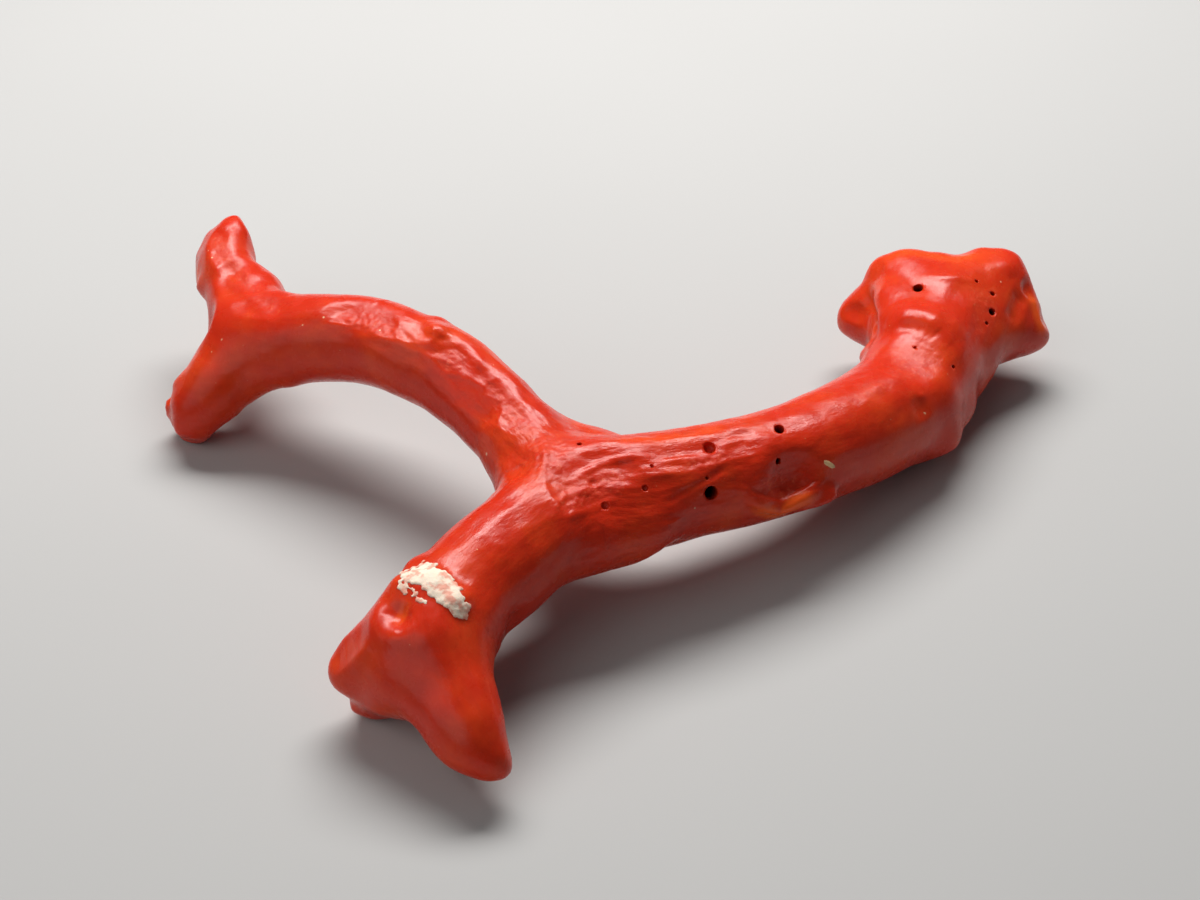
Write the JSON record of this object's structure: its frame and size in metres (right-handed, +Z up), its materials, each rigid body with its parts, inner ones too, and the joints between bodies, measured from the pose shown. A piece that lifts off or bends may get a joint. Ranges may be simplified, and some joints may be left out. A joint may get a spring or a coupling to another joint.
{
  "type": "red coral branch",
  "caption": "Polished branch of red precious coral, forked, with a thick stem and knuckled head, an arched arm ending in twigs, and a short arm with a stub, a prong and lime crust.",
  "frame": {"origin": "middle of the footprint's bounding box, on the surface the branch lies on", "axes": "+X along the branch's longest extent, from the twigs towards the head; +Y from the prong towards the head, across the fork; +Z up, the thinnest way through"},
  "size_m": [0.0448, 0.0356, 0.0088],
  "materials": {
    "coral": "tumble-polished, waxy, glossy",
    "crust": "chalky, matte"
  },
  "bodies": {
    "root": {"stem": "coral", "long_arm": "coral", "upper_twig": "coral", "lower_twig": "coral", "short_arm": "coral", "prong": "coral", "lime_crust": "crust"}
  },
  "joints": []
}
